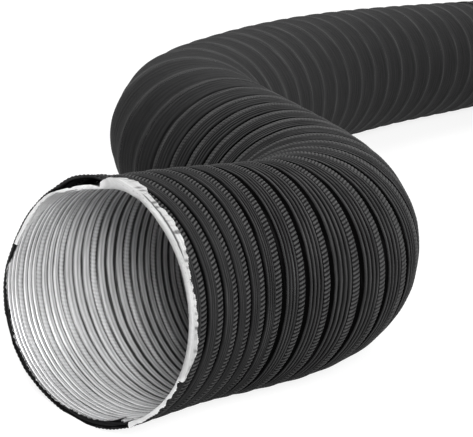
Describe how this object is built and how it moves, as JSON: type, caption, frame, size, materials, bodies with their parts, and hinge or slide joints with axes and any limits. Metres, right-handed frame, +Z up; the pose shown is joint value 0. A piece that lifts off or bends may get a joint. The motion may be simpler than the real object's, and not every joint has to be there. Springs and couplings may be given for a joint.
{
  "type": "flexible air duct",
  "caption": "Two-ply corrugated flexible air duct lying in loose bends, black outside and bare aluminium inside, with an open mouth at each end",
  "frame": {"origin": "middle of the duct's box, on the floor that it lies on", "axes": "+Z up; the duct runs from its open mouth at -Y to its far end at +Y; +X is to the right when it is seen from the mouth's side"},
  "size_m": [0.4608, 1.144, 0.1305],
  "materials": {
    "outer_ply": "satin black lacquer on creased foil",
    "inner_ply": "bare rolled foil"
  },
  "bodies": {
    "mouth": {"outer_turns_01": "outer_ply", "inner_turns_01": "inner_ply"},
    "link_02": {"inner_turns_02": "inner_ply"},
    "turns_02": {"outer_turns_02": "outer_ply"},
    "link_03": {"inner_turns_03": "inner_ply"},
    "turns_03": {"outer_turns_03": "outer_ply"},
    "link_04": {"inner_turns_04": "inner_ply"},
    "turns_04": {"outer_turns_04": "outer_ply"},
    "link_05": {"inner_turns_05": "inner_ply"},
    "turns_05": {"outer_turns_05": "outer_ply"},
    "link_06": {"inner_turns_06": "inner_ply"},
    "turns_06": {"outer_turns_06": "outer_ply"},
    "link_07": {"inner_turns_07": "inner_ply"},
    "turns_07": {"outer_turns_07": "outer_ply"},
    "link_08": {"inner_turns_08": "inner_ply"},
    "turns_08": {"outer_turns_08": "outer_ply"},
    "link_09": {"inner_turns_09": "inner_ply"},
    "turns_09": {"outer_turns_09": "outer_ply"},
    "link_10": {"inner_turns_10": "inner_ply"},
    "turns_10": {"outer_turns_10": "outer_ply"},
    "link_11": {"inner_turns_11": "inner_ply"},
    "turns_11": {"outer_turns_11": "outer_ply"},
    "link_12": {"inner_turns_12": "inner_ply"},
    "turns_12": {"outer_turns_12": "outer_ply"},
    "link_13": {"inner_turns_13": "inner_ply"},
    "turns_13": {"outer_turns_13": "outer_ply"},
    "link_14": {"inner_turns_14": "inner_ply"},
    "turns_14": {"outer_turns_14": "outer_ply"},
    "link_15": {"inner_turns_15": "inner_ply"},
    "turns_15": {"outer_turns_15": "outer_ply"},
    "link_16": {"inner_turns_16": "inner_ply"},
    "turns_16": {"outer_turns_16": "outer_ply"},
    "link_17": {"inner_turns_17": "inner_ply"},
    "turns_17": {"outer_turns_17": "outer_ply"},
    "link_18": {"inner_turns_18": "inner_ply"},
    "turns_18": {"outer_turns_18": "outer_ply"},
    "link_19": {"inner_turns_19": "inner_ply"},
    "turns_19": {"outer_turns_19": "outer_ply"},
    "link_20": {"inner_turns_20": "inner_ply"},
    "turns_20": {"outer_turns_20": "outer_ply"},
    "link_21": {"inner_turns_21": "inner_ply"},
    "turns_21": {"outer_turns_21": "outer_ply"},
    "link_22": {"inner_turns_22": "inner_ply"},
    "turns_22": {"outer_turns_22": "outer_ply"},
    "link_23": {"inner_turns_23": "inner_ply"},
    "turns_23": {"outer_turns_23": "outer_ply"},
    "link_24": {"inner_turns_24": "inner_ply"},
    "turns_24": {"outer_turns_24": "outer_ply"},
    "link_25": {"inner_turns_25": "inner_ply"},
    "turns_25": {"outer_turns_25": "outer_ply"},
    "link_26": {"inner_turns_26": "inner_ply"},
    "turns_26": {"outer_turns_26": "outer_ply"},
    "link_27": {"inner_turns_27": "inner_ply"},
    "turns_27": {"outer_turns_27": "outer_ply"},
    "link_28": {"inner_turns_28": "inner_ply"},
    "turns_28": {"outer_turns_28": "outer_ply", "inner_turns_29": "inner_ply"}
  },
  "joints": [
    {"name": "slide_01", "type": "slide", "parent": "mouth", "child": "link_02", "axis": [0.6836, 0.7298, 0], "range_m": [-0.0012, 0.0025]},
    {"name": "bend_01", "type": "hinge", "parent": "link_02", "child": "turns_02", "pos_m": [-0.12595, -0.47013, 0.065], "axis": [0, 0, 1], "range_deg": [-3.8, 0.3]},
    {"name": "slide_02", "type": "slide", "parent": "turns_02", "child": "link_03", "axis": [0.7197, 0.6943, 0], "range_m": [-0.0012, 0.0025]},
    {"name": "bend_02", "type": "hinge", "parent": "link_03", "child": "turns_03", "pos_m": [-0.09585, -0.44084, 0.065], "axis": [0, 0, 1], "range_deg": [-3.8, 0.3]},
    {"name": "slide_03", "type": "slide", "parent": "turns_03", "child": "link_04", "axis": [0.5993, 0.8005, 0], "range_m": [-0.0012, 0.0025]},
    {"name": "lift_03", "type": "hinge", "parent": "link_04", "child": "turns_04", "pos_m": [-0.07143, -0.40683, 0.065], "axis": [0.8912, -0.4536, 0], "range_deg": [0, 4.5]},
    {"name": "slide_04", "type": "slide", "parent": "turns_04", "child": "link_05", "axis": [0.2668, 0.9638, 0], "range_m": [-0.0012, 0.0025]},
    {"name": "bend_04", "type": "hinge", "parent": "link_05", "child": "turns_05", "pos_m": [-0.06166, -0.36637, 0.065], "axis": [0, 0, 1], "range_deg": [-3.8, 0.3]},
    {"name": "slide_05", "type": "slide", "parent": "turns_05", "child": "link_06", "axis": [-0.1691, 0.9856, 0], "range_m": [-0.0012, 0.0025]},
    {"name": "bend_05", "type": "hinge", "parent": "link_06", "child": "turns_06", "pos_m": [-0.06988, -0.32548, 0.065], "axis": [0, 0, 1], "range_deg": [-3.8, 0.3]},
    {"name": "slide_06", "type": "slide", "parent": "turns_06", "child": "link_07", "axis": [-0.4391, 0.8984, 0], "range_m": [-0.0012, 0.0025]},
    {"name": "lift_06", "type": "hinge", "parent": "link_07", "child": "turns_07", "pos_m": [-0.08873, -0.288, 0.065], "axis": [0.8602, 0.5099, 0], "range_deg": [0, 4.5]},
    {"name": "slide_07", "type": "slide", "parent": "turns_07", "child": "link_08", "axis": [-0.5135, 0.8581, 0], "range_m": [-0.0012, 0.0025]},
    {"name": "bend_07", "type": "hinge", "parent": "link_08", "child": "turns_08", "pos_m": [-0.11032, -0.25198, 0.065], "axis": [0, 0, 1], "range_deg": [-3.8, 0.3]},
    {"name": "slide_08", "type": "slide", "parent": "turns_08", "child": "link_09", "axis": [-0.5175, 0.8557, 0], "range_m": [-0.0012, 0.0025]},
    {"name": "bend_08", "type": "hinge", "parent": "link_09", "child": "turns_09", "pos_m": [-0.13203, -0.21602, 0.065], "axis": [0, 0, 1], "range_deg": [-3.8, 0.3]},
    {"name": "slide_09", "type": "slide", "parent": "turns_09", "child": "link_10", "axis": [-0.4597, 0.888, 0], "range_m": [-0.0012, 0.0025]},
    {"name": "lift_09", "type": "hinge", "parent": "link_10", "child": "turns_10", "pos_m": [-0.15095, -0.17856, 0.065], "axis": [0.9274, 0.3742, 0], "range_deg": [0, 4.5]},
    {"name": "slide_10", "type": "slide", "parent": "turns_10", "child": "link_11", "axis": [-0.2282, 0.9736, 0], "range_m": [-0.0012, 0.0025]},
    {"name": "bend_10", "type": "hinge", "parent": "link_11", "child": "turns_11", "pos_m": [-0.15945, -0.13766, 0.065], "axis": [0, 0, 1], "range_deg": [-1.4, 4.5]},
    {"name": "slide_11", "type": "slide", "parent": "turns_11", "child": "link_12", "axis": [0.0935, 0.9956, 0], "range_m": [-0.0012, 0.0025]},
    {"name": "bend_11", "type": "hinge", "parent": "link_12", "child": "turns_12", "pos_m": [-0.15471, -0.09607, 0.065], "axis": [0, 0, 1], "range_deg": [-1.4, 4.5]},
    {"name": "slide_12", "type": "slide", "parent": "turns_12", "child": "link_13", "axis": [0.2632, 0.9647, 0], "range_m": [-0.0012, 0.0025]},
    {"name": "lift_12", "type": "hinge", "parent": "link_13", "child": "turns_13", "pos_m": [-0.14348, -0.05561, 0.065], "axis": [0.9558, -0.2941, 0], "range_deg": [0, 4.5]},
    {"name": "slide_13", "type": "slide", "parent": "turns_13", "child": "link_14", "axis": [0.3029, 0.953, 0], "range_m": [-0.0012, 0.0025]},
    {"name": "bend_13", "type": "hinge", "parent": "link_14", "child": "turns_14", "pos_m": [-0.1307, -0.0156, 0.065], "axis": [0, 0, 1], "range_deg": [-1.4, 4.5]},
    {"name": "slide_14", "type": "slide", "parent": "turns_14", "child": "link_15", "axis": [0.3257, 0.9455, 0], "range_m": [-0.0012, 0.0025]},
    {"name": "bend_14", "type": "hinge", "parent": "link_15", "child": "turns_15", "pos_m": [-0.11694, 0.02408, 0.065], "axis": [0, 0, 1], "range_deg": [-1.4, 4.5]},
    {"name": "slide_15", "type": "slide", "parent": "turns_15", "child": "link_16", "axis": [0.3521, 0.936, 0], "range_m": [-0.0012, 0.0025]},
    {"name": "lift_15", "type": "hinge", "parent": "link_16", "child": "turns_16", "pos_m": [-0.10207, 0.06336, 0.065], "axis": [0.9298, -0.3682, 0], "range_deg": [0, 4.5]},
    {"name": "slide_16", "type": "slide", "parent": "turns_16", "child": "link_17", "axis": [0.381, 0.9246, 0], "range_m": [-0.0012, 0.0025]},
    {"name": "bend_16", "type": "hinge", "parent": "link_17", "child": "turns_17", "pos_m": [-0.08598, 0.10215, 0.065], "axis": [0, 0, 1], "range_deg": [-4.5, 4.5]},
    {"name": "slide_17", "type": "slide", "parent": "turns_17", "child": "link_18", "axis": [0.411, 0.9116, 0], "range_m": [-0.0012, 0.0025]},
    {"name": "bend_17", "type": "hinge", "parent": "link_18", "child": "turns_18", "pos_m": [-0.06863, 0.1404, 0.065], "axis": [0, 0, 1], "range_deg": [-4.5, 4.5]},
    {"name": "slide_18", "type": "slide", "parent": "turns_18", "child": "link_19", "axis": [0.4407, 0.8976, 0], "range_m": [-0.0012, 0.0025]},
    {"name": "lift_18", "type": "hinge", "parent": "link_19", "child": "turns_19", "pos_m": [-0.05003, 0.17806, 0.065], "axis": [0.8894, -0.4572, 0], "range_deg": [0, 4.5]},
    {"name": "slide_19", "type": "slide", "parent": "turns_19", "child": "link_20", "axis": [0.4688, 0.8833, 0], "range_m": [-0.0012, 0.0025]},
    {"name": "bend_19", "type": "hinge", "parent": "link_20", "child": "turns_20", "pos_m": [-0.03026, 0.21511, 0.065], "axis": [0, 0, 1], "range_deg": [-4.5, 4.5]},
    {"name": "slide_20", "type": "slide", "parent": "turns_20", "child": "link_21", "axis": [0.494, 0.8695, 0], "range_m": [-0.0012, 0.0025]},
    {"name": "bend_20", "type": "hinge", "parent": "link_21", "child": "turns_21", "pos_m": [-0.00945, 0.25159, 0.065], "axis": [0, 0, 1], "range_deg": [-4.5, 4.5]},
    {"name": "slide_21", "type": "slide", "parent": "turns_21", "child": "link_22", "axis": [0.5154, 0.8569, 0], "range_m": [-0.0012, 0.0025]},
    {"name": "lift_21", "type": "hinge", "parent": "link_22", "child": "turns_22", "pos_m": [0.01226, 0.28754, 0.065], "axis": [0.8504, -0.5261, 0], "range_deg": [0, 4.5]},
    {"name": "slide_22", "type": "slide", "parent": "turns_22", "child": "link_23", "axis": [0.5326, 0.8464, 0], "range_m": [-0.0012, 0.0025]},
    {"name": "bend_22", "type": "hinge", "parent": "link_23", "child": "turns_23", "pos_m": [0.03467, 0.32306, 0.065], "axis": [0, 0, 1], "range_deg": [-4.5, 4.5]},
    {"name": "slide_23", "type": "slide", "parent": "turns_23", "child": "link_24", "axis": [0.5454, 0.8382, 0], "range_m": [-0.0012, 0.0025]},
    {"name": "bend_23", "type": "hinge", "parent": "link_24", "child": "turns_24", "pos_m": [0.05761, 0.35825, 0.065], "axis": [0, 0, 1], "range_deg": [-4.5, 4.5]},
    {"name": "slide_24", "type": "slide", "parent": "turns_24", "child": "link_25", "axis": [0.554, 0.8325, 0], "range_m": [-0.0012, 0.0025]},
    {"name": "lift_24", "type": "hinge", "parent": "link_25", "child": "turns_25", "pos_m": [0.0809, 0.3932, 0.065], "axis": [0.8304, -0.5572, 0], "range_deg": [0, 4.5]},
    {"name": "slide_25", "type": "slide", "parent": "turns_25", "child": "link_26", "axis": [0.5572, 0.8304, 0], "range_m": [-0.0012, 0.0025]},
    {"name": "bend_25", "type": "hinge", "parent": "link_26", "child": "turns_26", "pos_m": [0.1043, 0.42807, 0.065], "axis": [0, 0, 1], "range_deg": [-4.5, 4.5]},
    {"name": "slide_26", "type": "slide", "parent": "turns_26", "child": "link_27", "axis": [0.5572, 0.8304, 0], "range_m": [-0.0012, 0.0025]},
    {"name": "bend_26", "type": "hinge", "parent": "link_27", "child": "turns_27", "pos_m": [0.1277, 0.46295, 0.065], "axis": [0, 0, 1], "range_deg": [-4.5, 4.5]},
    {"name": "slide_27", "type": "slide", "parent": "turns_27", "child": "link_28", "axis": [0.5572, 0.8304, 0], "range_m": [-0.0012, 0.0025]},
    {"name": "lift_27", "type": "hinge", "parent": "link_28", "child": "turns_28", "pos_m": [0.15111, 0.49783, 0.065], "axis": [0.8304, -0.5572, 0], "range_deg": [0, 4.5]}
  ],
  "couplings": [
    {"joint": "slide_02", "follows": "slide_01", "ratio": 1},
    {"joint": "bend_02", "follows": "bend_01", "ratio": 1},
    {"joint": "slide_03", "follows": "slide_01", "ratio": 1},
    {"joint": "slide_04", "follows": "slide_01", "ratio": 1},
    {"joint": "bend_04", "follows": "bend_01", "ratio": 1},
    {"joint": "slide_05", "follows": "slide_01", "ratio": 1},
    {"joint": "bend_05", "follows": "bend_01", "ratio": 1},
    {"joint": "slide_06", "follows": "slide_01", "ratio": 1},
    {"joint": "lift_06", "follows": "lift_03", "ratio": 1},
    {"joint": "slide_07", "follows": "slide_01", "ratio": 1},
    {"joint": "bend_07", "follows": "bend_01", "ratio": 1},
    {"joint": "slide_08", "follows": "slide_01", "ratio": 1},
    {"joint": "bend_08", "follows": "bend_01", "ratio": 1},
    {"joint": "slide_09", "follows": "slide_01", "ratio": 1},
    {"joint": "lift_09", "follows": "lift_03", "ratio": 1},
    {"joint": "slide_10", "follows": "slide_01", "ratio": 1},
    {"joint": "slide_11", "follows": "slide_01", "ratio": 1},
    {"joint": "bend_11", "follows": "bend_10", "ratio": 1},
    {"joint": "slide_12", "follows": "slide_01", "ratio": 1},
    {"joint": "lift_12", "follows": "lift_03", "ratio": 1},
    {"joint": "slide_13", "follows": "slide_01", "ratio": 1},
    {"joint": "bend_13", "follows": "bend_10", "ratio": 1},
    {"joint": "slide_14", "follows": "slide_01", "ratio": 1},
    {"joint": "bend_14", "follows": "bend_10", "ratio": 1},
    {"joint": "slide_15", "follows": "slide_01", "ratio": 1},
    {"joint": "slide_16", "follows": "slide_01", "ratio": 1},
    {"joint": "slide_17", "follows": "slide_01", "ratio": 1},
    {"joint": "bend_17", "follows": "bend_16", "ratio": 1},
    {"joint": "slide_18", "follows": "slide_01", "ratio": 1},
    {"joint": "lift_18", "follows": "lift_15", "ratio": 1},
    {"joint": "slide_19", "follows": "slide_01", "ratio": 1},
    {"joint": "bend_19", "follows": "bend_16", "ratio": 1},
    {"joint": "slide_20", "follows": "slide_01", "ratio": 1},
    {"joint": "bend_20", "follows": "bend_16", "ratio": 1},
    {"joint": "slide_21", "follows": "slide_01", "ratio": 1},
    {"joint": "lift_21", "follows": "lift_15", "ratio": 1},
    {"joint": "slide_22", "follows": "slide_01", "ratio": 1},
    {"joint": "slide_23", "follows": "slide_01", "ratio": 1},
    {"joint": "bend_23", "follows": "bend_22", "ratio": 1},
    {"joint": "slide_24", "follows": "slide_01", "ratio": 1},
    {"joint": "lift_24", "follows": "lift_15", "ratio": 1},
    {"joint": "slide_25", "follows": "slide_01", "ratio": 1},
    {"joint": "bend_25", "follows": "bend_22", "ratio": 1},
    {"joint": "slide_26", "follows": "slide_01", "ratio": 1},
    {"joint": "bend_26", "follows": "bend_22", "ratio": 1},
    {"joint": "slide_27", "follows": "slide_01", "ratio": 1},
    {"joint": "lift_27", "follows": "lift_15", "ratio": 1}
  ]
}
